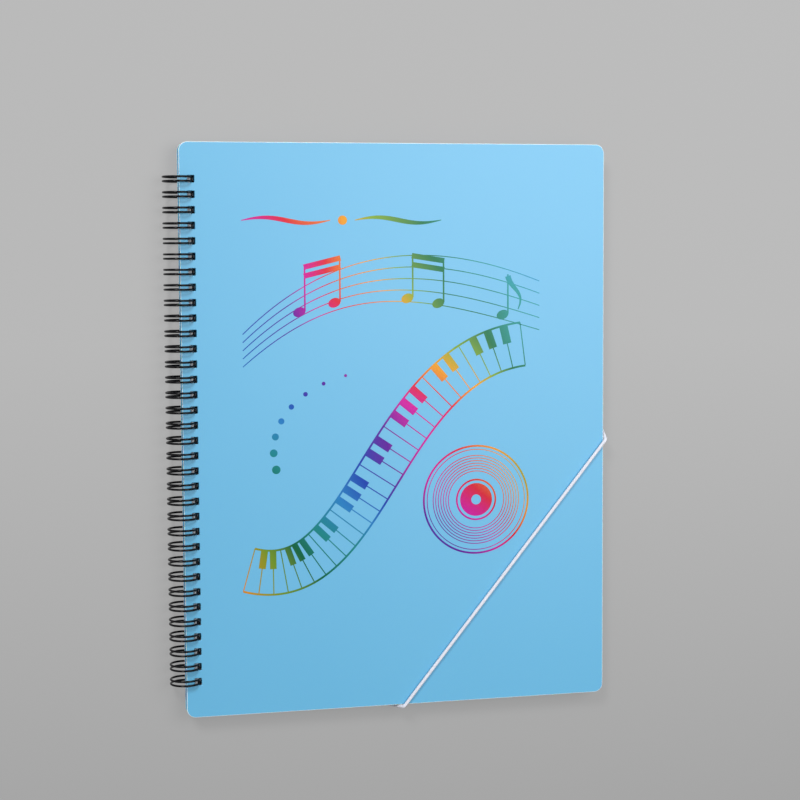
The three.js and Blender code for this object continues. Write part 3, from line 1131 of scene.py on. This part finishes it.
def rainbow_foil():
    material, tree, shader = new_material("rainbow_foil", (0.2, 0.2, 0.5), 0.28, metallic=0.15)
    shader.inputs["Specular IOR Level"].default_value = 0.25
    place = tree.nodes.new("ShaderNodeTexCoord")
    mapping = tree.nodes.new("ShaderNodeMapping")
    mapping.inputs["Rotation"].default_value = (0, 0, FOIL_TURN)
    mapping.inputs["Scale"].default_value = (1 / FOIL_SPAN,) * 3
    mapping.inputs["Location"].default_value = (FOIL_START, 0, 0)
    split = tree.nodes.new("ShaderNodeSeparateXYZ")
    drift = object_noise(tree, 16.0, detail=1.0)
    shift = tree.nodes.new("ShaderNodeMath")
    shift.operation = "MULTIPLY_ADD"
    shift.inputs[1].default_value = FOIL_DRIFT
    wrap = tree.nodes.new("ShaderNodeMath")
    wrap.operation = "FRACT"
    ramp = tree.nodes.new("ShaderNodeValToRGB")
    steps = ramp.color_ramp.elements
    steps[0].position, steps[0].color = FOIL_COLOURS[0][0], (*FOIL_COLOURS[0][1], 1)
    steps[1].position, steps[1].color = FOIL_COLOURS[-1][0], (*FOIL_COLOURS[-1][1], 1)
    for position, colour in FOIL_COLOURS[1:-1]:
        steps.new(position).color = (*colour, 1)
    tree.links.new(place.outputs["Object"], mapping.inputs["Vector"])
    tree.links.new(mapping.outputs["Vector"], split.inputs["Vector"])
    tree.links.new(drift.outputs["Fac"], shift.inputs[0])
    tree.links.new(split.outputs["X"], shift.inputs[2])
    tree.links.new(shift.outputs[0], wrap.inputs[0])
    tree.links.new(wrap.outputs[0], ramp.inputs["Fac"])
    tree.links.new(ramp.outputs["Color"], shader.inputs["Base Color"])
    return material


foil = join(foil_pieces, "foil_print")
pick(foil)
bpy.ops.object.mode_set(mode="EDIT")
bpy.ops.mesh.select_all(action="SELECT")
bpy.ops.mesh.normals_make_consistent(inside=False)
bpy.ops.object.mode_set(mode="OBJECT")
foil.data.materials.append(rainbow_foil())
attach(foil, "front_cover")
print("foil print:", len(foil.data.polygons), "faces")

# %% [markdown]
# ## The floor
# The folder lies on a plain pale floor whose grey is a little deeper towards the folder's lower
# end. Seen directly, or in a reflection, most of the floor's colour is its own glow, so the
# folder's shadows on it stay pale. For all other light it is a plain matte surface. The Light
# Path node tells the two apart.

# %% Make the floor
FLOOR_SIDE = 6.0
FLOOR_GREY_FAR = (0.425, 0.425, 0.425)
FLOOR_GREY_NEAR = (0.32, 0.32, 0.32)
FLOOR_FADE_START = -0.30
FLOOR_FADE_END = 0.05
FLOOR_GLOW_STRENGTH = 1.14
FLOOR_GLOW_SHARE = 0.68


def floor_grey(tree):
    place = tree.nodes.new("ShaderNodeTexCoord")
    split = tree.nodes.new("ShaderNodeSeparateXYZ")
    fade = tree.nodes.new("ShaderNodeMapRange")
    fade.inputs["From Min"].default_value = FLOOR_FADE_START
    fade.inputs["From Max"].default_value = FLOOR_FADE_END
    tree.links.new(place.outputs["Object"], split.inputs["Vector"])
    tree.links.new(split.outputs["Y"], fade.inputs["Value"])
    return blend_colours(tree, fade.outputs["Result"], FLOOR_GREY_NEAR, FLOOR_GREY_FAR)


def glow_share(tree):
    light_path = tree.nodes.new("ShaderNodeLightPath")
    seen = light_path.outputs["Is Camera Ray"]
    for ray in ("Is Glossy Ray", "Is Transmission Ray"):
        either = tree.nodes.new("ShaderNodeMath")
        either.operation = "MAXIMUM"
        tree.links.new(seen, either.inputs[0])
        tree.links.new(light_path.outputs[ray], either.inputs[1])
        seen = either.outputs[0]
    share = tree.nodes.new("ShaderNodeMath")
    share.operation = "MULTIPLY"
    share.inputs[1].default_value = FLOOR_GLOW_SHARE
    tree.links.new(seen, share.inputs[0])
    return share.outputs[0]


def floor_paint():
    material, tree, shader = new_material("floor_paint", FLOOR_GREY_FAR, 0.8)
    grey = floor_grey(tree)
    glow = tree.nodes.new("ShaderNodeEmission")
    glow.inputs["Strength"].default_value = FLOOR_GLOW_STRENGTH
    tree.links.new(grey, shader.inputs["Base Color"])
    tree.links.new(grey, glow.inputs["Color"])
    mix = tree.nodes.new("ShaderNodeMixShader")
    tree.links.new(glow_share(tree), mix.inputs["Fac"])
    tree.links.new(shader.outputs[0], mix.inputs[1])
    tree.links.new(glow.outputs[0], mix.inputs[2])
    tree.links.new(mix.outputs[0], tree.nodes["Material Output"].inputs["Surface"])
    return material


bpy.ops.object.select_all(action="DESELECT")
bpy.ops.mesh.primitive_plane_add(size=FLOOR_SIDE, location=(0, 0, 0))
floor = bpy.context.object
floor.name = "floor"
floor.data.materials.append(floor_paint())


# %% [markdown]
# ## The light
# A large soft lamp from the upper left lights the covers and gives the loops their shadows. A
# weaker one over the upper right gives the plastic its brighter corner, and an even world fills
# the rest.

# %% Set the lamps and the world
KEY_LAMP_PLACE = (-1.1, 1.62, 2.0)
KEY_LAMP_SIDE = 0.75
KEY_LAMP_WATTS = 40
CORNER_LAMP_PLACE = (0.44, 0.28, 1.0)
CORNER_LAMP_AIM = (0.05, 0, 0)
CORNER_LAMP_SIDE = 0.72
CORNER_LAMP_WATTS = 7.2
WORLD_STRENGTH = 0.32


def soft_lamp(name, place, aim, side, watts):
    data = bpy.data.lights.new(name, "AREA")
    data.shape = "SQUARE"
    data.size = side
    data.energy = watts
    lamp = bpy.data.objects.new(name, data)
    bpy.context.scene.collection.objects.link(lamp)
    lamp.location = place
    lamp.rotation_euler = (Vector(aim) - Vector(place)).to_track_quat("-Z", "Y").to_euler()


soft_lamp("key_lamp", KEY_LAMP_PLACE, (0, 0, 0), KEY_LAMP_SIDE, KEY_LAMP_WATTS)
soft_lamp("corner_lamp", CORNER_LAMP_PLACE, CORNER_LAMP_AIM, CORNER_LAMP_SIDE, CORNER_LAMP_WATTS)

world = bpy.data.worlds.new("world")
world.use_nodes = True
background = world.node_tree.nodes["Background"]
background.inputs["Color"].default_value = (1, 1, 1, 1)
background.inputs["Strength"].default_value = WORLD_STRENGTH
bpy.context.scene.world = world
